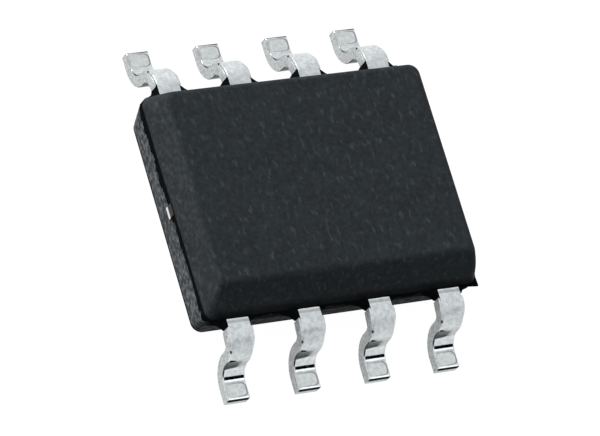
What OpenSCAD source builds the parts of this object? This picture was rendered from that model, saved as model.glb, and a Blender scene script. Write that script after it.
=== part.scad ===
// Eight-lead small-outline package: a moulded epoxy body round a stamped copper
// leadframe, with gull-wing leads on both long sides. All lengths are in millimetres.
// The origin is in the seating plane under the middle of the body, +X runs along
// the lead rows, +Y across them and +Z is up. The bevelled long wall faces -Y and
// carries leads 1 to 4, counted along +X. Leads 5 to 8 come back along the other wall.

/* [Body] */
// Length of the body along the lead rows, at the parting line
body_len = 4.9; // [4.7:0.01:5.2]
// Width of the body across the rows, at the parting line
body_w = 3.9; // [3.7:0.01:4.3]
// Thickness of resin above the leadframe
upper_depth = 0.56; // [0.5:0.01:0.8]
// Thickness of resin below the leadframe
lower_depth = 0.56; // [0.45:0.01:0.8]
// Gap between the seating plane and the underside of the body
standoff = 0.18; // [0.1:0.01:0.25]
// Leg of the 45 degree bevel along the top of the pin 1 wall
bevel = 0.32; // [0.2:0.01:0.4]
// Draft of the two end walls above the parting line, in degrees
end_draft = 15; // [7:0.5:18]
// Draft of the two long walls above the parting line, in degrees
side_draft = 18; // [7:0.5:20]
// Draft of all four walls below the leadframe, in degrees
lower_draft = 9; // [5:0.5:12]
// Radius of the upright corners
corner_r = 0.17; // [0.1:0.01:0.3]
// Radius of the top and bottom edges
edge_r = 0.08; // [0.04:0.01:0.12]

/* [Leads] */
// Distance between neighbouring leads of a row
pitch = 1.27; // [1.2:0.01:1.35]
// Width of a lead
lead_w = 0.4; // [0.31:0.01:0.5]
// Thickness of the leadframe strip
lead_t = 0.2; // [0.15:0.01:0.25]
// Distance from the body wall to the dam bar that was cut away
dambar_gap = 0.16; // [0.1:0.01:0.25]
// Arc of the shoulder where the dam bar joined the lead, in degrees
dambar_arc = 48; // [20:1:60]
// Stub of the dam bar left on each side of a lead
dambar_stub = 0.03; // [0.01:0.01:0.05]
// Inside radius of the shoulder bend
shoulder_r = 0.245; // [0.15:0.005:0.27]
// Inside radius of the heel bend
heel_r = 0.27; // [0.15:0.01:0.3]
// Angle that the strip turns down at the shoulder and back at the heel
leg_angle = 87; // [75:1:89]
// Flat length of the foot beyond the heel bend
foot_len = 0.23; // [0.15:0.01:0.5]

/* [Leadframe inside the resin] */
// Reach of a lead into the body, from the wall to the finger tip
finger_reach = 0.8; // [0.65:0.01:0.9]
// Width of the finger that anchors a lead and takes the bond
finger_w = 0.7; // [0.55:0.01:0.9]
// Length of the finger
finger_len = 0.45; // [0.3:0.01:0.5]
// Length of the die pad along the rows
pad_len = 2.3; // [1.7:0.01:2.6]
// Width of the die pad across the rows
pad_w = 1.6; // [1.4:0.01:1.9]
// Drop of the die pad below the leads
downset = 0.2; // [0.1:0.01:0.25]
// Run of the sloping stretch of a tie bar
tie_slope = 0.3; // [0.2:0.01:0.5]
// Width of a tie bar
tie_w = 0.2; // [0.15:0.01:0.35]
// Stub of the tie bar left proud of the end wall
tie_stub = 0.02; // [0.01:0.005:0.05]

/* [Die and bonds] */
// Length of the die along the rows
die_len = 1.5; // [1.2:0.01:1.65]
// Width of the die across the rows
die_w = 1.1; // [0.9:0.01:1.35]
// Thickness of the die
die_t = 0.25; // [0.15:0.01:0.28]
// Thickness of the adhesive under the die
attach_t = 0.03; // [0.02:0.005:0.05]
// Fillet of adhesive that shows round the die
attach_rim = 0.04; // [0.02:0.01:0.1]
// Distance between neighbouring bonds on the die
bond_pitch = 0.38; // [0.3:0.01:0.4]
// Distance from a bond to the edge of the die
bond_edge = 0.12; // [0.08:0.01:0.2]
// Diameter of a bond wire
wire_d = 0.03; // [0.02:0.005:0.04]
// Diameter of the ball bond
ball_d = 0.08; // [0.06:0.005:0.1]
// Height of the ball bond
ball_h = 0.02; // [0.015:0.005:0.03]
// Height of the wire loop above the die
loop_h = 0.16; // [0.1:0.01:0.2]
// Distance from the finger tip to the stitch bond
stitch_in = 0.15; // [0.1:0.01:0.25]

/* [Hidden] */

$fn = 48;
resin = [0.15, 0.16, 0.17];
tin = [0.80, 0.81, 0.80];
bare_copper = [0.72, 0.46, 0.33];
silver_glue = [0.62, 0.62, 0.60];
silicon = [0.35, 0.38, 0.45];
gold = [0.90, 0.72, 0.30];

lead_count = 8;
row_count = lead_count / 2;
slice = 0.001;   // thickness of the slices that the body is drawn over
weld = 0.0002;   // overlap that joins the straight leg of a lead to its two bends
round_steps = 5; // slices in the rounding of an edge
wire_steps = 10; // stretches along a bond wire
wire_sides = 6;

// Heights above the seating plane
frame_z = standoff + lower_depth;
parting_z = frame_z + lead_t;
top_z = parting_z + upper_depth;
bevel_z = top_z - bevel;
pad_z = frame_z - downset;
die_z = pad_z + lead_t + attach_t;
die_top = die_z + die_t;

// Places along a lead, measured from the middle of the body
wall_y = body_w / 2;
shoulder_y = wall_y + dambar_gap;
bend_sum = shoulder_r + lead_t + heel_r;
leg_len = (frame_z - bend_sum * (1 - cos(leg_angle))) / sin(leg_angle);
heel_y = shoulder_y + bend_sum * sin(leg_angle) + leg_len * cos(leg_angle);
toe_y = heel_y + foot_len;
tip_y = wall_y - finger_reach;

// Leads 1 to 4 run along +X on the bevelled side, and 5 to 8 run back on the other
function lead_side(n) = n <= row_count ? -1 : 1;
function lead_step(n) = n <= row_count ? n - (row_count + 1) / 2 : 1.5 * row_count + 0.5 - n;

// How far a wall that leans in by draft stands behind its foot at height z, with
// its top edge rounded over into the top face
function wall_inset(z, foot_z, foot_in, draft) =
    let (centre_z = top_z - edge_r)
    z < centre_z + edge_r * sin(draft)
        ? foot_in + (z - foot_z) * tan(draft)
        : foot_in + (centre_z - foot_z) * tan(draft) + edge_r / cos(draft)
            - sqrt(max(0, edge_r * edge_r - (z - centre_z) * (z - centre_z)));

// The same for the walls below the leadframe, down to the rounded bottom edge
function lower_inset(z) =
    let (centre_z = standoff + edge_r)
    z > centre_z - edge_r * sin(lower_draft)
        ? max(0, frame_z - z) * tan(lower_draft)
        : (frame_z - centre_z) * tan(lower_draft) + edge_r / cos(lower_draft)
            - sqrt(max(0, edge_r * edge_r - (centre_z - z) * (centre_z - z)));

function end_inset(z) = z < parting_z ? lower_inset(z) : wall_inset(z, parting_z, 0, end_draft);
function back_inset(z) = z < parting_z ? lower_inset(z) : wall_inset(z, parting_z, 0, side_draft);
function bevel_inset(z) =
    z < bevel_z
        ? back_inset(z)
        : wall_inset(z, bevel_z, (bevel_z - parting_z) * tan(side_draft), 45);

// One thin slice of the body at height z, with its four upright corners rounded
module body_slice(z) {
    x = body_len / 2 - end_inset(z) - corner_r;
    front = -wall_y + bevel_inset(z) + corner_r;
    back = wall_y - back_inset(z) - corner_r;
    for (corner = [[-x, front], [x, front], [x, back], [-x, back]])
        translate([corner[0], corner[1], z - slice / 2])
            cylinder(r = corner_r, h = slice, $fn = 32);
}

// The closed outer form: drafted walls both ways from the parting line, a band as
// high as the leadframe between them, rounded edges, and the bevel
module body_form() {
    edge_steps = [for (i = [0 : round_steps]) edge_r * (1 - sin(90 * i / round_steps))];
    heights = concat(
        [for (e = edge_steps) standoff + e + slice / 2],
        [frame_z, parting_z, bevel_z],
        [for (e = edge_steps) top_z - e - slice / 2]
    );
    hull()
        for (z = heights)
            body_slice(z);
}

// Ear of resin that filled the corner between a lead, the wall and the dam bar
module flash_ear() {
    translate([lead_w / 2, wall_y, frame_z])
        linear_extrude(lead_t)
            difference() {
                translate([0, -corner_r])
                    square([dambar_gap, corner_r + dambar_gap]);
                translate([dambar_gap, dambar_gap])
                    circle(r = dambar_gap);
            }
}

// Puts a piece drawn on the +Y side at lead n
module at_lead(n) {
    translate([lead_step(n) * pitch, 0, 0])
        rotate([0, 0, lead_side(n) > 0 ? 0 : 180])
            children();
}

// Straight stretch of strip from y0 to y1 with its underside at z
module strip(y0, y1, z, w) {
    translate([-w / 2, y0, z])
        cube([w, y1 - y0, lead_t]);
}

// Bend of the strip about an axis along X, from one angle to another, where 0 points
// along +Y and 90 straight up
module strip_bend(y, z, inside_r, from, to, w) {
    translate([0, y, z])
        rotate([90, 0, 90])
            rotate([0, 0, from])
                rotate_extrude(angle = to - from)
                    translate([inside_r, -w / 2])
                        square([lead_t, w]);
}

// One lead, from the finger inside the resin to the toe of the foot
module gull_wing() {
    shoulder_z = frame_z - shoulder_r;
    strip(tip_y, tip_y + finger_len, frame_z, finger_w);
    strip(tip_y, shoulder_y, frame_z, lead_w);
    strip_bend(shoulder_y, shoulder_z, shoulder_r, 90 - leg_angle, 90, lead_w);
    strip_bend(shoulder_y, shoulder_z, shoulder_r, 90 - dambar_arc, 90, lead_w + 2 * dambar_stub);
    translate([-lead_w / 2, shoulder_y, shoulder_z])
        rotate([-leg_angle, 0, 0])
            translate([0, -weld, shoulder_r])
                cube([lead_w, leg_len + 2 * weld, lead_t]);
    strip_bend(heel_y, lead_t + heel_r, heel_r, 270 - leg_angle, 270, lead_w);
    strip(heel_y, toe_y, 0, lead_w);
}

module lead(n) {
    color(tin)
        at_lead(n)
            gull_wing();
}

// Tie bar from the sunk die pad up to the plane of the leads and out of the end wall
module tie_bar() {
    start = pad_len / 2;
    knee = start + tie_slope;
    stub = body_len / 2 + tie_stub;
    translate([0, tie_w / 2, 0])
        rotate([90, 0, 0])
            linear_extrude(tie_w)
                polygon([
                    [0, pad_z], [start, pad_z], [knee, frame_z], [stub, frame_z],
                    [stub, parting_z], [knee, parting_z], [start, pad_z + lead_t],
                    [0, pad_z + lead_t]
                ]);
}

module die_pad() {
    color(bare_copper) {
        translate([-pad_len / 2, -pad_w / 2, pad_z])
            cube([pad_len, pad_w, lead_t]);
        for (turn = [0, 180])
            rotate([0, 0, turn])
                tie_bar();
    }
}

// A block centred on the die, larger by rim all round
module die_block(z, rim, t) {
    translate([-die_len / 2 - rim, -die_w / 2 - rim, z])
        cube([die_len + 2 * rim, die_w + 2 * rim, t]);
}

module die_attach() {
    color(silver_glue)
        die_block(die_z - attach_t, attach_rim, attach_t);
}

module die() {
    color(silicon)
        die_block(die_z, 0, die_t);
}

// Route of a bond wire: a cubic curve that leaves the ball straight up and comes
// down to the stitch on the finger
function bezier(p, u) =
    pow(1 - u, 3) * p[0] + 3 * u * pow(1 - u, 2) * p[1] + 3 * u * u * (1 - u) * p[2] + pow(u, 3) * p[3];
function bezier_slope(p, u) =
    pow(1 - u, 2) * (p[1] - p[0]) + 2 * u * (1 - u) * (p[2] - p[1]) + u * u * (p[3] - p[2]);
function unit(v) = v / norm(v);

// Ring of points round the wire at p, where along is its direction and across is level
function wire_ring(p, along, across) = [
    for (i = [0 : wire_sides - 1])
        p + wire_d / 2 * (cos(360 * i / wire_sides) * cross(across, along)
            + sin(360 * i / wire_sides) * across)
];

// Tube through the rings, closed at both ends
module wire_tube(route) {
    flat = [route[3][0] - route[0][0], route[3][1] - route[0][1], 0];
    across = unit([-flat[1], flat[0], 0]);
    points = [
        for (i = [0 : wire_steps])
            each wire_ring(
                bezier(route, i / wire_steps), unit(bezier_slope(route, i / wire_steps)), across
            )
    ];
    walls = [
        for (i = [0 : wire_steps - 1], j = [0 : wire_sides - 1])
            [
                i * wire_sides + j,
                (i + 1) * wire_sides + j,
                (i + 1) * wire_sides + (j + 1) % wire_sides,
                i * wire_sides + (j + 1) % wire_sides
            ]
    ];
    start_cap = [for (j = [0 : wire_sides - 1]) j];
    end_cap = [for (j = [1 : wire_sides]) (wire_steps + 1) * wire_sides - j];
    polyhedron(points, concat([start_cap, end_cap], walls));
}

// Gold wire from its ball on the die to its stitch on the finger of lead n
module bond_wire(n) {
    side = lead_side(n);
    ball = [lead_step(n) * bond_pitch, side * (die_w / 2 - bond_edge), die_top];
    stitch = [lead_step(n) * pitch, side * (tip_y + stitch_in), parting_z];
    peak = [0, 0, ball_h + 4 / 3 * loop_h];
    route = [
        ball + [0, 0, ball_h / 2],
        ball + peak,
        [(ball[0] + stitch[0]) / 2, (ball[1] + stitch[1]) / 2, die_top + loop_h],
        stitch
    ];
    color(gold) {
        translate(ball)
            cylinder(d = ball_d, h = ball_h, $fn = 24);
        difference() {
            wire_tube(route);
            translate([stitch[0] - finger_w / 2, stitch[1] - finger_w / 2, parting_z - lead_t])
                cube([finger_w, finger_w, lead_t]);
        }
    }
}

// The resin fills everything that the leadframe, the die and the wires leave
module mould_body() {
    color(resin)
        difference() {
            union() {
                body_form();
                for (n = [1 : lead_count], flip = [0, 1])
                    at_lead(n)
                        mirror([flip, 0, 0])
                            flash_ear();
            }
            for (n = [1 : lead_count]) {
                at_lead(n)
                    gull_wing();
                bond_wire(n);
            }
            die_pad();
            die_attach();
            die();
        }
}

mould_body();
die_pad();
die_attach();
die();
lead(1);  // lead_1
lead(2);  // lead_2
lead(3);  // lead_3
lead(4);  // lead_4
lead(5);  // lead_5
lead(6);  // lead_6
lead(7);  // lead_7
lead(8);  // lead_8
bond_wire(1);  // bond_wire_1
bond_wire(2);  // bond_wire_2
bond_wire(3);  // bond_wire_3
bond_wire(4);  // bond_wire_4
bond_wire(5);  // bond_wire_5
bond_wire(6);  // bond_wire_6
bond_wire(7);  // bond_wire_7
bond_wire(8);  // bond_wire_8
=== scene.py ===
import math

import bmesh
import bpy
from mathutils import Matrix, Quaternion, Vector, noise


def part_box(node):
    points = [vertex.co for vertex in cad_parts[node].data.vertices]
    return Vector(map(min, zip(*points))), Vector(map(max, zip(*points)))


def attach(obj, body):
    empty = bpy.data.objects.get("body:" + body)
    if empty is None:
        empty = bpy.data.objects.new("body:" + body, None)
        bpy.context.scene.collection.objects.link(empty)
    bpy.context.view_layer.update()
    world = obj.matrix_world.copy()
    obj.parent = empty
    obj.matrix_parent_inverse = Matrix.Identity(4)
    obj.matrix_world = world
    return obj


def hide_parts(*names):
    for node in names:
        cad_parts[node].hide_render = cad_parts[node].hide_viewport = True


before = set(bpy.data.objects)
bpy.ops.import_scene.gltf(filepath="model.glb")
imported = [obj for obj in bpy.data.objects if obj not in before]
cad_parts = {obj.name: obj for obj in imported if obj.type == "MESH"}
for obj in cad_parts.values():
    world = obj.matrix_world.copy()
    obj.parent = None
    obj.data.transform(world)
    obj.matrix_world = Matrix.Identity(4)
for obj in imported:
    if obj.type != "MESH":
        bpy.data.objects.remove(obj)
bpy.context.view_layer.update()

# Sizes are in millimetres and angles in degrees. Pieces are formed in millimetres too,
# and brought to metres when they are finished
MM = 0.001

LEADS = 8
PITCH = 1.27

# The stamped strip, and the wider finger at its inner end that anchors it in the resin
LEAD_W = 0.4
STRIP_T = 0.2
STRIP_EDGE_R = 0.025
FINGER_W = 0.7
FINGER_LEN = 0.45
FINGER_DEPTH = 0.8
NECK_LEN = 0.006

# The gull-wing bends
SHOULDER_R = 0.245
HEEL_R = 0.27
LEG_ANGLE = 87
BEND_STEPS = 44

# The cut end of the foot: how far it rolls over, and where the bare metal starts
TOE_ROLL = 0.035
TOE_DROP = 0.013
TOE_EDGE_R = 0.008
CUT_Z = 0.105

# Stubs of the dam bar. They follow the shoulder bend through DAMBAR_ARC, and slope off
# over the last DAMBAR_FADE of it, to end just inside the strip
DAMBAR_GAP = 0.16
DAMBAR_STUB = 0.03
DAMBAR_ARC = 54
DAMBAR_FADE = 28
STUB_DROP = 0.012
STUB_EDGE_R = 0.008
STUB_SINK = 0.002
STUB_STEPS = 13
FADE_STEPS = 14

# The moulding
BODY_LEN = 4.9
BODY_W = 3.9
END_DRAFT = 15
SIDE_DRAFT = 18
LOWER_DRAFT = 9
BEVEL = 0.32
CORNER_R = 0.17
EDGE_R = 0.07
LOWER_EDGE_R = 0.03
# Painted shade: this much of the walls above the underside is finished black, as the
# shade along the bottom
LOWER_EDGE_SHADE = 0.072

# Flash: the bead along the parting line, the ears beside the leads, which stand out from
# the wall and run along it on each hand of a lead, and the fins. More is left on the far
# side, where the mould halves closed less tightly
BEAD_OUT = 0.018
# The bead is this deep so that, in black, it also lays painted shade below the parting line
BEAD_DEPTH = 0.09
BEAD_CUTS = 90
EARS = {-1: (0.13, 0.24), 1: (0.09, 0.18)}
EAR_CLEARANCE = 0.004
FAR_SPREAD = 1.5
FIN_T = 0.035

# Edges of the block that turn by more than RIM_ANGLE are rounded, and its faces of more
# than LEAST_FLAT square millimetres are its flats. A FLAT_MARGIN is kept beside a flat
RIM_ANGLE = 24
LEAST_FLAT = 0.4
FLAT_MARGIN = 0.004
# Points closer than this count as one
HAIR = 1e-5

# Finishes, by their place in a piece's list of materials. BEAD only marks the faces of
# the bead while it is formed
BARE_CUT = 1
# The torn finish serves torn flash, and painted shade on the lower edge and the bead
TORN_AND_SHADED = 1
BEAD = 2

# Where the frame has the moulding and the leads
body_low, body_high = (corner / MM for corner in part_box("mould_body"))
lead_low, lead_high = (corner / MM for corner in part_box("lead_1"))
STANDOFF = body_low.z
TOP_Z = body_high.z
PARTING_Z = lead_high.z
FRAME_Z = PARTING_Z - STRIP_T
TOE_Y = -lead_low.y
WALL_Y = BODY_W / 2

# Axis of the shoulder bend
SHOULDER_Y = WALL_Y + DAMBAR_GAP
SHOULDER_Z = FRAME_Z - SHOULDER_R

# Noise seldom leaves this middle range, which is spread out for its full contrast
FULL_CONTRAST = {"From Min": 0.36, "From Max": 0.64}


def linear(colour):
    """Linear RGBA of an sRGB hex colour."""
    parts = [int(colour[i:i + 2], 16) / 255 for i in (1, 3, 5)]
    return [c / 12.92 if c <= 0.04045 else ((c + 0.055) / 1.055) ** 2.4 for c in parts] + [1]


def per(mm):
    """Texture scale at which one cell of a pattern measures so many millimetres."""
    return 1 / (mm * MM)


def feed(tree, node, inputs):
    """Gives a node its inputs: values, sockets, or nodes whose first output in use is meant."""
    for name, value in inputs.items():
        if isinstance(value, bpy.types.Node):
            value = next(socket for socket in value.outputs if socket.enabled)
        if isinstance(value, bpy.types.NodeSocket):
            tree.links.new(value, node.inputs[name])
        else:
            node.inputs[name].default_value = value


def add(tree, kind, inputs=None, **settings):
    """Adds a node with its settings and its inputs."""
    node = tree.nodes.new(kind)
    for name, value in settings.items():
        setattr(node, name, value)
    feed(tree, node, inputs or {})
    return node


def new_finish(name):
    """A material with its shader, and the Object coordinates that its patterns read."""
    material = bpy.data.materials.new(name)
    material.use_nodes = True
    tree = material.node_tree
    shader = tree.nodes["Principled BSDF"]
    place = add(tree, "ShaderNodeTexCoord").outputs["Object"]
    return material, tree, shader, place


def facing(tree, axis):
    """How squarely a surface faces along an axis, either way."""
    geometry = add(tree, "ShaderNodeNewGeometry")
    normal = add(tree, "ShaderNodeSeparateXYZ", {"Vector": geometry.outputs["True Normal"]})
    return add(tree, "ShaderNodeMath", {0: normal.outputs[axis]}, operation="ABSOLUTE")


def away_from(tree, place, middle):
    """How far a place is from the middle of a mark, on either side of it."""
    off = add(tree, "ShaderNodeMath", {0: place, 1: middle}, operation="SUBTRACT")
    return add(tree, "ShaderNodeMath", {0: off}, operation="ABSOLUTE")


def keep_to(tree, mark, *limits):
    """Weakens a mark wherever one of its limits is weak."""
    for limit in limits:
        mark = add(tree, "ShaderNodeMath", {0: mark, 1: limit}, operation="MULTIPLY")
    return mark


def lay_marks(tree, colour, marks):
    """Lays marks over a colour, each in its own shade, the last on top."""
    for mark, shade in marks:
        colour = add(tree, "ShaderNodeMix", {
            0: mark, 6: colour, 7: linear(shade),
        }, data_type="RGBA")
    return colour


# ---------------------------------------------------------------- the moulding's finish

def filled_resin(tree, place, grain):
    """Near black, slightly clouded, with pale streaks where filler lined up in the flow."""
    cloud_size = 0.6
    streak_w, streak_stretch, flow_angle = 0.075, 2.2, 5
    clouds = add(tree, "ShaderNodeTexNoise", {
        "Vector": place, "Scale": per(cloud_size), "Detail": 2,
    })
    mottle = add(tree, "ShaderNodeMath", {
        0: clouds, 1: 0.3, 2: grain,
    }, operation="MULTIPLY_ADD")
    mottle = add(tree, "ShaderNodeMapRange", {
        "Value": mottle, "From Min": 0.45, "From Max": 0.85,
    })
    colour = add(tree, "ShaderNodeMix", {
        0: mottle, 6: linear("#1C1F21"), 7: linear("#25292B"),
    }, data_type="RGBA")
    flow = add(tree, "ShaderNodeMapping", {
        "Vector": place,
        "Rotation": (0, 0, math.radians(flow_angle)),
        "Scale": (1, streak_stretch, 1),
    }, vector_type="TEXTURE")
    streaks = add(tree, "ShaderNodeTexNoise", {
        "Vector": flow, "Scale": per(streak_w), "Detail": 3,
    })
    streaks = add(tree, "ShaderNodeMapRange", {
        "Value": streaks, "From Min": 0.56, "From Max": 0.76,
    })
    return lay_marks(tree, colour, [(streaks, "#34383A")])


def blasted(tree, up, chips, below, sideways):
    """Grey scuffing, with paler specks, where the flash was blasted off.

    The ends have it, most of all below the parting line. The sides are only touched low
    down, under the leads.
    """
    low_z, high_z = 0.6, 0.74
    ends = add(tree, "ShaderNodeMapRange", {
        "Value": facing(tree, "X"), "From Min": 0.6, "From Max": 0.9,
    })
    low_down = add(tree, "ShaderNodeMapRange", {
        "Value": up, "From Min": low_z * MM, "From Max": high_z * MM,
        "To Min": 0.9, "To Max": 0,
    })
    exposed = add(tree, "ShaderNodeMath", {
        0: sideways, 1: low_down, 2: ends,
    }, operation="MULTIPLY_ADD")
    specks = add(tree, "ShaderNodeMapRange", {
        "Value": chips, "From Min": 0.44, "From Max": 0.7, "To Min": 0.16, "To Max": 1,
    })
    scuffed = add(tree, "ShaderNodeMapRange", {"Value": below, "To Min": 0.12, "To Max": 1})
    return keep_to(tree, scuffed, exposed, specks)


def parting_line_shade(tree, ragged, sideways):
    """Painted shade: a darker band on the sides around the parting line, where the flash and
    the leads shade the wall.
    """
    middle_z, solid, faded = PARTING_Z + 0.06, 0.14, 0.3
    parting_shade = add(tree, "ShaderNodeMapRange", {
        "Value": away_from(tree, ragged, middle_z * MM),
        "From Min": solid * MM, "From Max": faded * MM, "To Min": 0.95, "To Max": 0,
    }, interpolation_type="SMOOTHSTEP")
    return keep_to(tree, parting_shade, sideways)


def black_moulding_compound():
    """Black epoxy moulding compound, transfer moulded in a spark-eroded steel cavity.

    The erosion leaves a fine even grain that keeps the black from shining, and the
    silica filler gives it a few paler specks and flow streaks.
    """
    # The eroded grain is really about 0.02 across, too fine to show, and is drawn
    # coarser. Grains of filler are up to 0.075, and look larger where some lie together
    eroded_grain, filler_speck = 0.07, 0.085
    pit_depth = 0.006
    # The blasted part starts at a ragged line, torn by up to line_tear
    line_tear, line_edge = 0.2, 0.01

    material, tree, shader, place = new_finish("black_epoxy_moulding_compound")
    up = add(tree, "ShaderNodeSeparateXYZ", {"Vector": place}).outputs["Z"]
    grain = add(tree, "ShaderNodeTexNoise", {
        "Vector": place, "Scale": per(eroded_grain), "Detail": 4,
    })
    chips = add(tree, "ShaderNodeTexNoise", {
        "Vector": place, "Scale": per(filler_speck), "Detail": 5,
    })
    ragged = add(tree, "ShaderNodeMath", {
        0: chips, 1: line_tear * MM, 2: up,
    }, operation="MULTIPLY_ADD")
    below = add(tree, "ShaderNodeMapRange", {
        "Value": ragged, "From Min": (PARTING_Z - line_edge) * MM,
        "From Max": (PARTING_Z + line_edge) * MM, "To Min": 1, "To Max": 0,
    })
    sideways = add(tree, "ShaderNodeMapRange", {
        "Value": facing(tree, "Y"), "From Min": 0.75, "From Max": 0.9,
    })
    colour = lay_marks(tree, filled_resin(tree, place, grain), [
        (blasted(tree, up, chips, below, sideways), "#6C6E70"),
        # Painted shade along the parting line on the sides
        (parting_line_shade(tree, ragged, sideways), "#060708"),
    ])

    # It is rougher below the parting line, where it was blasted
    rough = add(tree, "ShaderNodeMapRange", {"Value": grain, "To Min": 0.5, "To Max": 0.7})
    rough = add(tree, "ShaderNodeMath", {
        0: below, 1: 0.3, 2: rough,
    }, operation="MULTIPLY_ADD")
    pits = add(tree, "ShaderNodeBump", {
        "Height": grain, "Strength": 0.6, "Distance": pit_depth * MM,
    })
    feed(tree, shader, {
        "Base Color": colour, "Roughness": rough, "Normal": pits, "Specular IOR Level": 0.06,
    })
    return material


# ---------------------------------------------------------------- the leads' finish

def on_lead(tree, place):
    """Where a point is on its lead, so that a tool's mark is the same on every lead.

    across is measured from the lead's centre line, reach outwards from the middle of
    the body, and up from the board. row is the plain Y: below zero on the near row of
    leads, and above it on the far one.
    """
    half_pitch = PITCH / 2 * MM
    at = add(tree, "ShaderNodeSeparateXYZ", {"Vector": place})
    across = add(tree, "ShaderNodeMath", {0: at.outputs["X"], 1: half_pitch})
    across = add(tree, "ShaderNodeMath", {
        0: across, 1: half_pitch, 2: -half_pitch,
    }, operation="WRAP")
    reach = add(tree, "ShaderNodeMath", {0: at.outputs["Y"]}, operation="ABSOLUTE")
    spot = add(tree, "ShaderNodeCombineXYZ", {"X": across, "Y": reach, "Z": at.outputs["Z"]})
    return {
        "across": across, "reach": reach, "up": at.outputs["Z"], "row": at.outputs["Y"],
        "spot": spot,
    }


def between_rows(tree, lead, near, far):
    """One value on the near row of leads and another on the far row."""
    no_lead_y = 0.1
    return add(tree, "ShaderNodeMapRange", {
        "Value": lead["row"], "From Min": -no_lead_y * MM, "From Max": no_lead_y * MM,
        "To Min": near, "To Max": far,
    })


def clamp_band(tree, lead, gripped):
    """Clamp of the forming tool: a narrow grey band across the shank."""
    clamp_y, solid, faded = 2.01, 0.018, 0.03
    band = add(tree, "ShaderNodeMapRange", {
        "Value": away_from(tree, lead["reach"], clamp_y * MM),
        "From Min": solid * MM, "From Max": faded * MM, "To Min": 0.5, "To Max": 0,
    }, interpolation_type="SMOOTHSTEP")
    return keep_to(tree, band, gripped)


def painted_leg_shade(tree, lead, rolled):
    """Painted shade: the dark reflection down the leg, laid into the tin's colour.

    It starts and ends on a slant, is darkest on one side of the lead, and runs further
    down in a narrow track at that edge.
    """
    start_solid, start_faded, start_slant = 0.5, 0.6, 0.1
    end_faded, end_solid, end_slant = 0.352, 0.378, -0.14
    track_edge, track_side, track_drop = -0.182, -0.168, 0.09
    darkest_x, faintest_x = 0.01, 0.11
    start = add(tree, "ShaderNodeMath", {
        0: lead["across"], 1: start_slant, 2: lead["up"],
    }, operation="MULTIPLY_ADD")
    leg_shade = add(tree, "ShaderNodeMapRange", {
        "Value": start, "From Min": start_solid * MM, "From Max": start_faded * MM,
        "To Min": 0.93, "To Max": 0,
    }, interpolation_type="SMOOTHSTEP")
    track = add(tree, "ShaderNodeMapRange", {
        "Value": lead["across"], "From Min": track_edge * MM, "From Max": track_side * MM,
        "To Min": track_drop * MM, "To Max": 0,
    }, interpolation_type="SMOOTHSTEP")
    end = add(tree, "ShaderNodeMath", {
        0: lead["across"], 1: end_slant, 2: track,
    }, operation="MULTIPLY_ADD")
    end = add(tree, "ShaderNodeMath", {0: end, 1: lead["up"]})
    end = add(tree, "ShaderNodeMapRange", {
        "Value": end, "From Min": end_faded * MM, "From Max": end_solid * MM,
    }, interpolation_type="SMOOTHSTEP")
    across_fade = add(tree, "ShaderNodeMapRange", {
        "Value": lead["across"], "From Min": darkest_x * MM, "From Max": faintest_x * MM,
        "To Min": 1, "To Max": 0.12,
    }, interpolation_type="SMOOTHSTEP")
    return keep_to(tree, leg_shade, end, across_fade, rolled)


def trim_nick_shade(tree, lead):
    """Painted shade: a small dark spot at one side, where the dam bar's stub ends, for the
    shade in a nick that the trim punch tore there.
    """
    tear_at, solid, faded = (-0.205, 2.456, 0.765), 0.021, 0.037
    away = add(tree, "ShaderNodeVectorMath", {
        0: lead["spot"], 1: [c * MM for c in tear_at],
    }, operation="DISTANCE")
    return add(tree, "ShaderNodeMapRange", {
        "Value": away, "From Min": solid * MM, "From Max": faded * MM,
        "To Min": 0.95, "To Max": 0,
    }, interpolation_type="SMOOTHSTEP")


def coined_foot(tree, lead, pressed):
    """Coining: the rim and the floor of a faint rounded square pressed into the foot."""
    coin_at, half_sizes, rim_share = (0, 2.9, STRIP_T), (0.172, 0.112, 0.1), 0.26
    coin = add(tree, "ShaderNodeVectorMath", {
        0: lead["spot"], 1: [c * MM for c in coin_at],
    }, operation="SUBTRACT")
    coin = add(tree, "ShaderNodeVectorMath", {
        0: coin, 1: [per(half) for half in half_sizes],
    }, operation="MULTIPLY")
    # Squared along each axis, its length reaches 1 round a square with rounded corners
    coin = add(tree, "ShaderNodeVectorMath", {0: coin, 1: coin}, operation="MULTIPLY")
    coin = add(tree, "ShaderNodeVectorMath", {0: coin}, operation="LENGTH")
    rim = add(tree, "ShaderNodeMapRange", {
        "Value": away_from(tree, coin, 1), "From Max": rim_share, "To Min": 0.8, "To Max": 0,
    }, interpolation_type="SMOOTHSTEP")
    coin_floor = add(tree, "ShaderNodeMapRange", {
        "Value": coin, "From Min": 0.85, "From Max": 1, "To Min": 0.2, "To Max": 0,
    }, interpolation_type="SMOOTHSTEP")
    return keep_to(tree, rim, pressed), coin_floor


def toe_burr(tree, lead, pressed):
    """Dark burr at the toes of the far leads, which were cut from above."""
    burr_len, burr_edge = 0.028, 0.02
    burr = add(tree, "ShaderNodeMapRange", {
        "Value": lead["row"], "From Min": (TOE_Y - burr_len) * MM,
        "From Max": (TOE_Y - burr_edge) * MM,
    })
    return keep_to(tree, burr, pressed)


def far_shoulder_shade(tree, lead, far_row):
    """Painted shade: over the far shoulders the tin is painted a little darker."""
    starts_z, full_z = 0.55, 0.7
    shoulder_shade = add(tree, "ShaderNodeMapRange", {
        "Value": lead["up"], "From Min": starts_z * MM, "From Max": full_z * MM, "To Max": 0.38,
    })
    return keep_to(tree, shoulder_shade, far_row)


def far_edge_shade(tree, lead, rolled, far_row):
    """Painted shade: one edge of the far leads is painted darker, which takes its glint off."""
    starts_x, full_x = -0.178, -0.195
    edge_shade = add(tree, "ShaderNodeMapRange", {
        "Value": lead["across"], "From Min": starts_x * MM, "From Max": full_x * MM, "To Max": 0.7,
    })
    return keep_to(tree, edge_shade, rolled, far_row)


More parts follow.
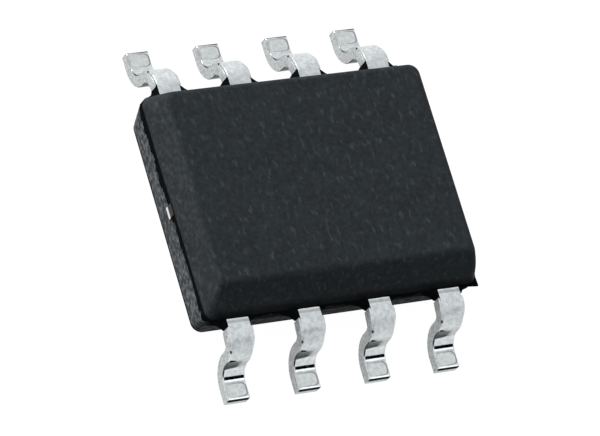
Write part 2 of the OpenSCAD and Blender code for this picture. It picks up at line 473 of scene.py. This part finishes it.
def tin_gloss(tree, lead, gripped, sheared, blotch):
    """Roughness, from the tools that burnish the tin.

    The forming die burnishes the heel and the foot, and the clamp the shank. The shoulder
    stays matte, and the sheared edges are rougher than the faces beside them.
    """
    heel_z, shoulder_z = 0.6, 0.7
    shank_y, bend_y = 2.06, 2.2
    rough = add(tree, "ShaderNodeMapRange", {
        "Value": lead["up"], "From Min": heel_z * MM, "From Max": shoulder_z * MM,
        "To Min": 0.05, "To Max": 0.4,
    }, interpolation_type="SMOOTHSTEP")
    shank = add(tree, "ShaderNodeMapRange", {
        "Value": lead["reach"], "From Min": shank_y * MM, "From Max": bend_y * MM,
        "To Min": -0.34, "To Max": 0,
    }, interpolation_type="SMOOTHSTEP")
    for part, share in ((shank, gripped), (sheared, 0.3), (blotch, 0.06)):
        rough = add(tree, "ShaderNodeMath", {
            0: part, 1: share, 2: rough,
        }, operation="MULTIPLY_ADD")
    return rough


def tin_skin(tree, place, lead, grain):
    """Relief: the burnished part wavers a little in what it mirrors, and all is grained."""
    swell_size, swell_height, grain_height = 0.16, 0.0012, 0.0006
    burnished_z, matte_z = 0.5, 0.6
    swell = add(tree, "ShaderNodeTexNoise", {
        "Vector": place, "Scale": per(swell_size), "Detail": 1,
    })
    burnished = add(tree, "ShaderNodeMapRange", {
        "Value": lead["up"], "From Min": burnished_z * MM, "From Max": matte_z * MM,
        "To Min": 1, "To Max": 0,
    })
    swell = add(tree, "ShaderNodeBump", {
        "Height": swell, "Strength": burnished, "Distance": swell_height * MM,
    })
    return add(tree, "ShaderNodeBump", {
        "Height": grain, "Strength": 0.12, "Distance": grain_height * MM, "Normal": swell,
    })


def matte_tin():
    """Matte tin electroplated on the stamped and bent leadframe.

    The plating is a pale cool grey, blotchy, with a soft sheen. The sheared edges are
    mottled where the punch tore them, and the forming tools leave their marks. Painted
    shade is laid over it too: the dark reflection down each leg, the darker far shoulders
    and far edges, and a dark spot in the nick by each stub.
    """
    # Grains of matte tin are really about 0.005 across, too fine to show, and are drawn
    # ten times as coarse
    blotch_size, grain_size = 0.065, 0.05
    # The coining and the cut bear harder on one side of each lead
    light_x, hard_x = -0.1, 0.14

    material, tree, shader, place = new_finish("matte_tin_plating")
    blotch, grain = (
        add(tree, "ShaderNodeMapRange", {"Value": add(tree, "ShaderNodeTexNoise", {
            "Vector": place, "Scale": per(size), "Detail": 4,
        }), **FULL_CONTRAST})
        for size in (blotch_size, grain_size)
    )
    sheared = add(tree, "ShaderNodeMapRange", {
        "Value": facing(tree, "X"), "From Min": 0.88, "From Max": 0.97,
    }, interpolation_type="SMOOTHSTEP")
    rolled = add(tree, "ShaderNodeMapRange", {"Value": sheared, "To Min": 1, "To Max": 0})
    plated = add(tree, "ShaderNodeMix", {
        0: blotch, 6: linear("#DCE0E1"), 7: linear("#F8FAFA"),
    }, data_type="RGBA")
    mottled = add(tree, "ShaderNodeMix", {
        0: grain, 6: linear("#B8BBBC"), 7: linear("#DCDEDE"),
    }, data_type="RGBA")
    colour = add(tree, "ShaderNodeMix", {0: sheared, 6: plated, 7: mottled}, data_type="RGBA")

    lead = on_lead(tree, place)
    # The clamp closed harder on the near row
    gripped = between_rows(tree, lead, 1, 0.2)
    far_row = between_rows(tree, lead, 0, 1)
    pressed = add(tree, "ShaderNodeMapRange", {
        "Value": lead["across"], "From Min": light_x * MM, "From Max": hard_x * MM,
        "To Min": 0.3, "To Max": 1,
    })
    coin_rim, coin_floor = coined_foot(tree, lead, pressed)
    colour = lay_marks(tree, colour, [
        # Painted shade: the far shoulders darkened
        (far_shoulder_shade(tree, lead, far_row), "#B6BABB"),
        # Painted shade: one edge of the far leads darkened
        (far_edge_shade(tree, lead, rolled, far_row), "#909495"),
        (toe_burr(tree, lead, pressed), "#3E3A37"),
        (clamp_band(tree, lead, gripped), "#8F9495"),
        # Painted shade: the dark reflection down the leg
        (painted_leg_shade(tree, lead, rolled), "#3C3F40"),
        # Painted shade: the dark spot in the nick at the stub's end
        (trim_nick_shade(tree, lead), "#15130F"),
        (coin_rim, "#6C6F70"),
        (coin_floor, "#E6E1D8"),
    ])
    feed(tree, shader, {
        "Base Color": colour,
        "Roughness": tin_gloss(tree, lead, gripped, sheared, blotch),
        "Normal": tin_skin(tree, place, lead, grain),
        "Metallic": 1,
    })
    return material


# ---------------------------------------------------------------- small and sealed parts

def grained_finish(name, low, high, cell, rough, metallic=0.0, relief=0.001, shine=0.5):
    """A grain of the given cell in two tones, which also varies the gloss and relief."""
    material, tree, shader, place = new_finish(name)
    grain = add(tree, "ShaderNodeTexNoise", {"Vector": place, "Scale": per(cell), "Detail": 3})
    tone = add(tree, "ShaderNodeMix", {
        0: grain, 6: linear(low), 7: linear(high),
    }, data_type="RGBA")
    wear = add(tree, "ShaderNodeMapRange", {
        "Value": grain, "To Min": rough[0], "To Max": rough[1],
    })
    skin = add(tree, "ShaderNodeBump", {
        "Height": grain, "Strength": 0.3, "Distance": relief * MM,
    })
    feed(tree, shader, {
        "Base Color": tone, "Roughness": wear, "Normal": skin,
        "Metallic": metallic, "Specular IOR Level": shine,
    })
    return material


def bare_copper_cut():
    """Copper alloy bared by the trim punch at the toe: tarnished nearly black, and dull.

    The torn grain is really about 0.01, and is drawn at 0.03 so that it shows.
    """
    return grained_finish(
        "tarnished_bare_copper_cut", "#120F0D", "#221D19", 0.03, (0.8, 0.95), shine=0.1)


def torn_resin_and_shade():
    """Moulding compound where flash broke off: torn, with no gloss, and almost black.

    Filler grains of up to 0.075 stand in the tear, which gives it its 0.05 grain. It is
    also laid as painted shade, black and without gloss, on the lower edge and on the bead
    along the parting line.
    """
    return grained_finish(
        "broken_flash_and_painted_shade", "#060707", "#141617", 0.05, (0.85, 1.0), shine=0.0)


def silver_spot_plating():
    """Silver plated on the copper alloy pad: a soft white metal with a satin grain.

    The bare ends of its tie bars show at the body's ends. Each is freshly torn and bright
    in a narrow band, and tarnished brown round it. The plating's grain is really about
    0.005, and is drawn at 0.05 so that it shows.
    """
    end_starts, end_full = 2.43, 2.44
    tear_z, bright, tarnished = 0.755, 0.035, 0.06
    material = grained_finish(
        "silver_plated_copper_alloy", "#A3A19D", "#C9C7C2", 0.05, (0.3, 0.45), 1.0)
    tree = material.node_tree
    shader = tree.nodes["Principled BSDF"]
    at = add(tree, "ShaderNodeSeparateXYZ", {
        "Vector": add(tree, "ShaderNodeTexCoord").outputs["Object"],
    })
    outwards = add(tree, "ShaderNodeMath", {0: at.outputs["X"]}, operation="ABSOLUTE")
    cut = add(tree, "ShaderNodeMapRange", {
        "Value": outwards, "From Min": end_starts * MM, "From Max": end_full * MM,
    })
    tarnish = add(tree, "ShaderNodeMapRange", {
        "Value": away_from(tree, at.outputs["Z"], tear_z * MM),
        "From Min": bright * MM, "From Max": tarnished * MM,
    })
    end = add(tree, "ShaderNodeMix", {
        0: tarnish, 6: linear("#FFFDFA"), 7: linear("#332E2A"),
    }, data_type="RGBA")
    plating = shader.inputs["Base Color"].links[0].from_socket
    tone = add(tree, "ShaderNodeMix", {0: cut, 6: plating, 7: end}, data_type="RGBA")
    feed(tree, shader, {"Base Color": tone})
    return material


def silver_filled_adhesive():
    """Epoxy paste full of silver flakes, spread under the die and cured: a dull pale grey.

    The flakes are up to 0.02, and are drawn at 0.03 so that they show.
    """
    return grained_finish("silver_filled_epoxy", "#9A9A96", "#BDBDB8", 0.03, (0.5, 0.65))


def passivated_die():
    """Silicon sawn from a polished wafer, under a clear nitride coat.

    It is smooth, glossy and blue grey, and the blocks of the circuit under the coat, here
    0.08 across, change its tone.
    """
    return grained_finish("passivated_silicon", "#454C5A", "#5C6678", 0.08, (0.12, 0.2))


def drawn_gold():
    """Gold wire drawn through a diamond die: bright yellow, smooth and nearly a mirror.

    The drawing lines are really under 0.001, and are drawn as a 0.02 grain so that they
    show.
    """
    return grained_finish(
        "drawn_gold_wire", "#D9A845", "#EBC468", 0.02, (0.15, 0.25), 1.0, 0.0004)


# ---------------------------------------------------------------- shaping

def round_off(bm, geom, radius, segments, affect="EDGES", clamp_overlap=False):
    """Rounds edges, or the corners of a flat outline."""
    bmesh.ops.bevel(
        bm, geom=geom, offset=radius, segments=segments, profile=0.5,
        affect=affect, material=-1, clamp_overlap=clamp_overlap,
    )


def cut_along(bm, geom, point, across, clear_outer=False):
    """Cuts faces along the plane through a point, and returns the new edges."""
    cut = bmesh.ops.bisect_plane(
        bm, geom=geom, dist=HAIR, plane_co=point, plane_no=across, clear_outer=clear_outer,
    )["geom_cut"]
    return [e for e in cut if isinstance(e, bmesh.types.BMEdge)]


def everything(bm):
    """All that a cut through a whole solid passes through."""
    return bm.verts[:] + bm.edges[:] + bm.faces[:]


def last_face(made):
    """The face that drawing a solid out has ended in."""
    return next(g for g in made if isinstance(g, bmesh.types.BMFace))


def draw_out(bm, face, move):
    """Lengthens a solid from its end face."""
    face = last_face(bmesh.ops.extrude_face_region(bm, geom=[face])["geom"])
    bmesh.ops.translate(bm, vec=move, verts=face.verts)
    return face


def bend(bm, face, centre, degrees, steps):
    """Lengthens the strip round an axis along X."""
    return last_face(bmesh.ops.spin(
        bm, geom=[face], cent=centre, axis=(1, 0, 0), angle=math.radians(degrees), steps=steps,
    )["geom_last"])


def clear_inside(bm):
    """Takes out the faces a solid was drawn out from, which stay inside it."""
    inside = [f for f in bm.faces if all(len(e.link_faces) > 2 for e in f.edges)]
    bmesh.ops.delete(bm, geom=inside, context="FACES_ONLY")


def finish_piece(bm, name, materials, nodes, smooth_below):
    """Turns a bmesh in millimetres into a piece of the object that stands for the nodes."""
    bmesh.ops.recalc_face_normals(bm, faces=bm.faces)
    bmesh.ops.scale(bm, vec=(MM, MM, MM), verts=bm.verts)
    mesh = bpy.data.meshes.new(name)
    bm.to_mesh(mesh)
    bm.free()
    piece = bpy.data.objects.new(name, mesh)
    bpy.context.scene.collection.objects.link(piece)
    for material in materials:
        mesh.materials.append(material)
    mesh.shade_smooth()
    mesh.set_sharp_from_angle(angle=math.radians(smooth_below))
    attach(piece, "root")
    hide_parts(*nodes)


# ---------------------------------------------------------------- the leads

def section(bm, middle, width, height, radius, segments):
    """A face across the strip, upright, with rounded corners."""
    corners = bmesh.ops.create_grid(bm, x_segments=1, y_segments=1, size=0.5)["verts"]
    bmesh.ops.scale(bm, vec=(width, height, 1), verts=corners)
    bmesh.ops.rotate(bm, matrix=Matrix.Rotation(math.radians(90), 3, "X"), verts=corners)
    bmesh.ops.translate(bm, vec=middle, verts=corners)
    round_off(bm, corners, radius, segments, affect="VERTICES")
    return min(bm.faces, key=lambda f: (f.calc_center_median() - Vector(middle)).length)


def bent_strip(bm):
    """The strip from the finger's tip over the shoulder and the heel, to its square end."""
    turn = math.radians(LEG_ANGLE)
    both_bends = SHOULDER_R + STRIP_T + HEEL_R
    leg = (FRAME_Z - both_bends * (1 - math.cos(turn))) / math.sin(turn)
    heel_y = SHOULDER_Y + both_bends * math.sin(turn) + leg * math.cos(turn)
    tip_y = WALL_Y - FINGER_DEPTH
    shank_len = SHOULDER_Y - tip_y - FINGER_LEN - NECK_LEN

    tip = (0, tip_y, FRAME_Z + STRIP_T / 2)
    face = section(bm, tip, FINGER_W, STRIP_T, STRIP_EDGE_R, 3)
    face = draw_out(bm, face, (0, FINGER_LEN, 0))
    face = draw_out(bm, face, (0, NECK_LEN, 0))
    bmesh.ops.scale(bm, vec=(LEAD_W / FINGER_W, 1, 1), verts=face.verts)
    face = draw_out(bm, face, (0, shank_len, 0))
    face = bend(bm, face, (0, SHOULDER_Y, SHOULDER_Z), -LEG_ANGLE, BEND_STEPS)
    face = draw_out(bm, face, (0, leg * math.cos(turn), -leg * math.sin(turn)))
    face = bend(bm, face, (0, heel_y, STRIP_T + HEEL_R), LEG_ANGLE, BEND_STEPS)
    face = draw_out(bm, face, (0, TOE_Y - TOE_ROLL - heel_y, 0))
    return draw_out(bm, face, (0, TOE_ROLL, 0))


def sheared_toe(bm, face):
    """Rolls the top of the cut end over, and bares its upper part.

    Below that the punch smeared the tin down over the cut.
    """
    rolled = [v for v in face.verts if v.co.z > STRIP_T / 2]
    bmesh.ops.translate(bm, vec=(0, 0, -TOE_DROP), verts=rolled)
    round_off(bm, face.edges[:], TOE_EDGE_R, 3)
    end = max(
        (f for f in bm.faces if f.calc_center_median().y > TOE_Y - 10 * HAIR),
        key=lambda f: f.calc_area(),
    )
    cut_along(bm, [end, *end.edges, *end.verts], (0, 0, CUT_Z), (0, 0, 1))
    for f in bm.faces:
        middle = f.calc_center_median()
        if middle.y > TOE_Y - TOE_EDGE_R and middle.z > CUT_Z:
            f.material_index = BARE_CUT


def dam_bar_stub(bm, hand):
    """Stub of the dam bar, drawn down a little where the punch cut it."""
    height = STRIP_T - STUB_DROP
    middle = (hand * LEAD_W / 2, SHOULDER_Y, FRAME_Z + height / 2)
    centre = (0, SHOULDER_Y, SHOULDER_Z)
    face = section(bm, middle, 2 * DAMBAR_STUB, height, STUB_EDGE_R, 2)
    face = bend(bm, face, centre, DAMBAR_FADE - DAMBAR_ARC, STUB_STEPS)
    inwards = -hand * (DAMBAR_STUB + STUB_SINK) / FADE_STEPS
    for _ in range(FADE_STEPS):
        face = bend(bm, face, centre, -DAMBAR_FADE / FADE_STEPS, 1)
        bmesh.ops.translate(bm, vec=(inwards, 0, 0), verts=face.verts)


def keep_flats_flat(bm):
    """A loop of edges beside each rounded edge, so that shading leaves the flats flat."""
    for hand in (-1, 1):
        side = hand * (LEAD_W / 2 - STRIP_EDGE_R - FLAT_MARGIN)
        cut_along(bm, everything(bm), (side, 0, 0), (1, 0, 0))
    roll_y = TOE_Y - TOE_ROLL
    for y in (roll_y - FLAT_MARGIN, roll_y + FLAT_MARGIN, TOE_Y - TOE_EDGE_R - FLAT_MARGIN):
        cut_along(bm, everything(bm), (0, y, 0), (0, 1, 0))


def formed_lead(x, side):
    """One lead: stamped strip, bent down at the shoulder and back at the heel."""
    bm = bmesh.new()
    sheared_toe(bm, bent_strip(bm))
    for hand in (-1, 1):
        dam_bar_stub(bm, hand)
    clear_inside(bm)
    keep_flats_flat(bm)
    if side < 0:
        bmesh.ops.rotate(bm, matrix=Matrix.Rotation(math.pi, 3, "Z"), verts=bm.verts)
    bmesh.ops.translate(bm, vec=(x, 0, 0), verts=bm.verts)
    return bm


# ---------------------------------------------------------------- the moulding

def drafted_halves(bm):
    """A band as thick as the leadframe, drawn out to top and bottom with their drafts."""
    bmesh.ops.create_cube(bm, size=1)
    bmesh.ops.scale(bm, vec=(BODY_LEN, BODY_W, STRIP_T), verts=bm.verts)
    bmesh.ops.translate(bm, vec=(0, 0, FRAME_Z + STRIP_T / 2), verts=bm.verts)
    for up, rise, end, side in (
        (1, TOP_Z - PARTING_Z, END_DRAFT, SIDE_DRAFT),
        (-1, FRAME_Z - STANDOFF, LOWER_DRAFT, LOWER_DRAFT),
    ):
        face = max(bm.faces, key=lambda f: up * f.calc_center_median().z)
        # Not draw_out: its edges come in an order that varies, and the bevels follow it
        face = bmesh.ops.extrude_discrete_faces(bm, faces=[face])["faces"][0]
        bmesh.ops.translate(bm, vec=(0, 0, up * rise), verts=face.verts)
        bmesh.ops.scale(bm, verts=face.verts, vec=(
            1 - 2 * rise * math.tan(math.radians(end)) / BODY_LEN,
            1 - 2 * rise * math.tan(math.radians(side)) / BODY_W,
            1,
        ))


def pin_1_bevel(bm):
    """Cuts the top edge off along the side of leads 1 to 4."""
    bevel_z = TOP_Z - BEVEL
    bevel_y = -WALL_Y + (bevel_z - PARTING_Z) * math.tan(math.radians(SIDE_DRAFT))
    cut = cut_along(
        bm, everything(bm), (0, bevel_y, bevel_z), (0, -1, 1), clear_outer=True)
    bmesh.ops.edgenet_fill(bm, edges=cut)


def round_rims(bm):
    """Rounds the edges of the flats, the lower ones more tightly."""
    for lower, radius in ((True, LOWER_EDGE_R), (False, EDGE_R)):
        rims = [
            e for e in bm.edges
            if len(e.link_faces) == 2 and e.calc_face_angle() > math.radians(RIM_ANGLE)
            and (e.verts[0].co.z < FRAME_Z) == lower
        ]
        round_off(bm, rims, radius, 5, clamp_overlap=True)


def shade_lower_edge(bm):
    """Painted shade: the lower edge is made as black as torn resin, for the shade along the
    bottom of the block.

    The underside itself is left out.
    """
    underside = 0.001
    # Painted shade: the faces low on the walls take the black torn finish
    cut_along(bm, everything(bm), (0, 0, STANDOFF + LOWER_EDGE_SHADE), (0, 0, 1))
    for f in bm.faces:
        if underside < f.calc_center_median().z - STANDOFF < LOWER_EDGE_SHADE:
            f.material_index = TORN_AND_SHADED


def moulded_block(bm):
    """The drafted block, with its corners and edges rounded and painted shade along its lower
    edge.
    """
    least_height = 0.01
    drafted_halves(bm)
    upright = [
        e for e in bm.edges if abs(e.verts[0].co.z - e.verts[1].co.z) > least_height
    ]
    round_off(bm, upright, CORNER_R, 8)
    pin_1_bevel(bm)
    round_rims(bm)
    shade_lower_edge(bm)
    flats = [f for f in bm.faces if f.calc_area() > LEAST_FLAT]
    bmesh.ops.inset_individual(bm, faces=flats, thickness=FLAT_MARGIN, depth=0)


def flash_bead(bm):
    """Ragged bead of resin that crept between the mould halves at the parting line.

    It hangs a little lower towards the far side. It is drawn deep, in black torn resin
    without gloss, so that it also stands as painted shade on the wall below the parting
    line.
    """
    # Tears in a millimetre, coarse and fine, and how often the bead grows and shrinks
    coarse, fine, wander = 9, 25, 6
    tear_depth = 0.08
    top_sag, lower_sag = 0.03, 0.08
    cap_margin = 0.05

    corners = bmesh.ops.create_grid(bm, x_segments=1, y_segments=1, size=0.5)["verts"]
    corners[0].link_faces[0].material_index = BEAD
    bmesh.ops.scale(bm, vec=(BODY_LEN, BODY_W, 1), verts=corners)
    bmesh.ops.translate(bm, vec=(0, 0, PARTING_Z - BEAD_DEPTH), verts=corners)
    round_off(bm, corners, CORNER_R, 6, affect="VERTICES")
    face = next(f for f in bm.faces if f.material_index == BEAD)
    straights = [e for e in face.edges if e.calc_length() > 1]
    bmesh.ops.subdivide_edges(bm, edges=straights, cuts=BEAD_CUTS)
    face = next(f for f in bm.faces if f.material_index == BEAD)
    draw_out(bm, face, (0, 0, BEAD_DEPTH))
    caps = [f for f in bm.faces if f.material_index == BEAD and len(f.verts) > 4]
    bmesh.ops.inset_individual(bm, faces=caps, thickness=cap_margin, depth=0)

    bm.normal_update()
    sides = [f for f in bm.faces if f.material_index == BEAD and abs(f.normal.z) < 0.5]
    for v in {v for f in sides for v in f.verts}:
        out = Vector((v.co.x / BODY_LEN, v.co.y / BODY_W, 0)).normalized()
        far = min(max(v.co.y + 0.4, 0), 1)
        torn = noise.noise(v.co * coarse) + 0.6 * noise.noise(v.co * fine)
        at_top = v.co.z > PARTING_Z - BEAD_DEPTH / 2
        v.co += out * BEAD_OUT * (0.65 + 0.35 * noise.noise(v.co * wander))
        v.co.z += -top_sag * far if at_top else tear_depth * torn - lower_sag * far
    # The whole bead takes the black torn finish: flash, and painted shade along the seam
    for f in bm.faces:
        f.material_index = min(f.material_index, TORN_AND_SHADED)


def flash_sheet(bm, outline, low_z, thickness, corner, fillet, segments):
    """A thin sheet of torn resin, with one corner of its outline rounded."""
    verts = [bm.verts.new((x, y, low_z)) for x, y in outline]
    bm.faces.new(verts).material_index = TORN_AND_SHADED
    round_off(bm, [verts[corner]], fillet, segments, affect="VERTICES")
    face = next(f for f in bm.faces if verts[0] in f.verts)
    draw_out(bm, face, (0, 0, thickness))


def flash_ear(bm, x, side, hand, out, along):
    """Resin that filled the corner between a lead and the wall up to the dam bar."""
    root, tip_w, rounding = 0.1, 0.015, 0.3
    lead_edge, wall = LEAD_W / 2 - 0.005, -0.003
    # At the body's ends it stops a little past the start of the rounded corner
    along = min(along, BODY_LEN / 2 - CORNER_R - hand * x - lead_edge + 0.03)
    outline = [
        (lead_edge, -root), (lead_edge, out), (lead_edge + tip_w, out),
        (lead_edge + 0.4 * along, 0.3 * out), (lead_edge + along, wall),
        (lead_edge + along, -root),
    ]
    flash_sheet(
        bm, [(x + hand * a, side * (WALL_Y + b)) for a, b in outline],
        FRAME_Z + EAR_CLEARANCE, STRIP_T - 2 * EAR_CLEARANCE,
        corner=3, fillet=rounding * min(out, along), segments=6,
    )


def flash_fin(bm, end, side, outline, fillet):
    """Thin sheet left in a corner of the parting line, its outline out from that corner."""
    flash_sheet(
        bm, [(end * (BODY_LEN / 2 + a), side * (WALL_Y + b)) for a, b in outline],
        PARTING_Z - FIN_T, FIN_T, corner=2, fillet=fillet, segments=8,
    )


# ---------------------------------------------------------------- the pieces

resin = black_moulding_compound()
tin = matte_tin()
bare_cut = bare_copper_cut()
torn_flash_and_shade = torn_resin_and_shade()

block = bmesh.new()
moulded_block(block)
flash_bead(block)
for n in range(1, LEADS + 1):
    low, high = (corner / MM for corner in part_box(f"lead_{n}"))
    x = (low.x + high.x) / 2
    side = math.copysign(1, low.y + high.y)
    finish_piece(
        formed_lead(x, side), f"gull_wing_{n}", [tin, bare_cut],
        [f"lead_{n}"], smooth_below=35,
    )
    spread = 1 if side < 0 else FAR_SPREAD
    for hand, (out, along) in EARS.items():
        flash_ear(block, x, side, hand, out * spread, along * spread)
# A fin in three of the corners, out from the end and the side that meet there
flash_fin(block, 1, -1, [
    (-0.35, -0.05), (-0.33, 0.12), (-0.26, 0.015), (0.012, 0.039), (-0.003, -0.25),
    (-0.25, -0.25),
], 0.07)
flash_fin(block, 1, 1, [
    (-0.33, -0.05), (-0.33, 0.035), (-0.25, 0.055), (-0.18, 0.04), (-0.13, -0.05),
], 0.02)
flash_fin(block, -1, 1, [
    (-0.35, -0.05), (-0.35, 0.04), (-0.31, 0.04), (-0.234, 0.101), (-0.21, -0.05),
], 0.02)
finish_piece(
    block, "moulding", [resin, torn_flash_and_shade], ["mould_body"], smooth_below=30)

# The sealed pieces keep their own shapes
sealed = {
    "die_pad": silver_spot_plating(),
    "die_attach": silver_filled_adhesive(),
    "die": passivated_die(),
}
gold = drawn_gold()
for n in range(1, LEADS + 1):
    sealed[f"bond_wire_{n}"] = gold
for node, material in sealed.items():
    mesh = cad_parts[node].data
    mesh.materials.clear()
    mesh.materials.append(material)


# ---------------------------------------------------------------- the set

# The camera
AIM = Vector((-0.2414, -0.3817, 0.8)) * MM
DISTANCE = 71.836 * MM
AZIMUTH, ELEVATION, ROLL = -55.475, 56.928, 43.158
LENS, SENSOR_W = 268.407, 36

# The floor and the key lamp, in metres and watts
FLOOR_R = 1.0
LAMP_FROM = Vector((-0.4, 0.75, 0.5))
LAMP_DISTANCE = 0.2
LAMP_SIZE = 0.1
LAMP_WATTS = 0.6

# The studio as the object sees it, in directions from it: pale walls, with lamps that
# add light at these places and black cards that take it away. Each is full out to one
# angle and gone at the next. The leads mirror them as the lines across each bend
WALLS = 0.8
LAMPS_AND_CARDS = [
    ((-0.9, 0.1, 0.3), 20, 50, 0.3),
    ((-0.35, -0.93, 0.1), 28, 48, -0.6),
    ((0.4515, -0.56, 0.694), 9, 11, -2),
    ((0.4515, -0.33, 0.83), 5, 7, 0.6),
    ((0.4515, -0.053, 0.89), 3, 8, -0.2),
    ((0.4515, 0.3136, 0.8353), 8, 20, -0.02),
]


def place_on_set(name, data):
    """Puts a camera, a lamp or the floor in the scene."""
    item = bpy.data.objects.new(name, data)
    bpy.context.scene.collection.objects.link(item)
    return item


def set_camera():
    """A long lens, high over the corner of pin 1, and turned about its own axis."""
    data = bpy.data.cameras.new("camera")
    data.lens = LENS
    data.sensor_width = SENSOR_W
    data.clip_start = 0.001
    data.clip_end = 10
    camera = place_on_set("camera", data)
    az, el = math.radians(AZIMUTH), math.radians(ELEVATION)
    towards = Vector((math.sin(az) * math.cos(el), -math.cos(az) * math.cos(el), math.sin(el)))
    roll = Quaternion((0, 0, 1), math.radians(ROLL))
    camera.location = AIM + DISTANCE * towards
    camera.rotation_mode = "QUATERNION"
    camera.rotation_quaternion = towards.to_track_quat("Z", "Y") @ roll
    bpy.context.scene.camera = camera


def white_paper():
    """White paper sweep, matte, under the object. It takes the object's shadow.

    What the camera sees of it, and to a lesser share what metal mirrors of it, is
    lightened to plain white.
    """
    seen_share, mirrored_share = 0.85, 0.4
    material = bpy.data.materials.new("white_paper_sweep")
    material.use_nodes = True
    tree = material.node_tree
    tree.nodes.clear()
    lit = add(tree, "ShaderNodeBsdfDiffuse", {"Color": linear("#B4B6B6")})
    white = add(tree, "ShaderNodeEmission", {"Color": (1, 1, 1, 1), "Strength": 1.15})
    path = add(tree, "ShaderNodeLightPath")
    mirrored = add(tree, "ShaderNodeMath", {
        0: path.outputs["Is Glossy Ray"], 1: path.outputs["Is Transmission Ray"],
    }, operation="MAXIMUM")
    mirrored = keep_to(tree, mirrored, mirrored_share)
    share = add(tree, "ShaderNodeMath", {
        0: path.outputs["Is Camera Ray"], 1: seen_share, 2: mirrored,
    }, operation="MULTIPLY_ADD")
    paper = add(tree, "ShaderNodeMixShader", {0: share, 1: lit, 2: white})
    add(tree, "ShaderNodeOutputMaterial", {"Surface": paper})
    return material


def lay_floor():
    """A plain round floor, which reaches well out of view."""
    bm = bmesh.new()
    bmesh.ops.create_circle(bm, cap_ends=True, segments=96, radius=FLOOR_R)
    mesh = bpy.data.meshes.new("floor")
    bm.to_mesh(mesh)
    bm.free()
    mesh.materials.append(white_paper())
    floor = place_on_set("floor", mesh)


def light_studio():
    """The pale walls with their lamps and cards, behind a plain white backdrop."""
    world = bpy.data.worlds.new("studio")
    world.use_nodes = True
    tree = world.node_tree
    tree.nodes.clear()
    direction = add(tree, "ShaderNodeTexCoord").outputs["Generated"]
    level = WALLS
    for aim, inner, outer, gain in LAMPS_AND_CARDS:
        aligned = add(tree, "ShaderNodeVectorMath", {
            0: direction, 1: Vector(aim).normalized(),
        }, operation="DOT_PRODUCT")
        patch = add(tree, "ShaderNodeMapRange", {
            "Value": aligned,
            "From Min": math.cos(math.radians(outer)),
            "From Max": math.cos(math.radians(inner)),
            "To Min": 0, "To Max": gain,
        }, interpolation_type="SMOOTHSTEP")
        level = add(tree, "ShaderNodeMath", {0: level, 1: patch})
    level = add(tree, "ShaderNodeMath", {0: level, 1: 0}, operation="MAXIMUM")
    path = add(tree, "ShaderNodeLightPath")
    studio = add(tree, "ShaderNodeBackground", {"Color": linear("#F4F8FA"), "Strength": level})
    backdrop = add(tree, "ShaderNodeBackground", {"Color": (1, 1, 1, 1), "Strength": 1.0})
    sky = add(tree, "ShaderNodeMixShader", {
        0: path.outputs["Is Camera Ray"], 1: studio, 2: backdrop,
    })
    add(tree, "ShaderNodeOutputWorld", {"Surface": sky})
    bpy.context.scene.world = world


def hang_key_lamp():
    """A round soft lamp, above and beyond the far row of leads."""
    data = bpy.data.lights.new("key", "AREA")
    data.shape = "DISK"
    data.size = LAMP_SIZE
    data.energy = LAMP_WATTS
    key = place_on_set("key", data)
    key.location = LAMP_FROM.normalized() * LAMP_DISTANCE
    key.rotation_mode = "QUATERNION"
    key.rotation_quaternion = key.location.to_track_quat("Z", "Y")


set_camera()
lay_floor()
light_studio()
hang_key_lamp()
bpy.context.scene.view_settings.view_transform = "Standard"
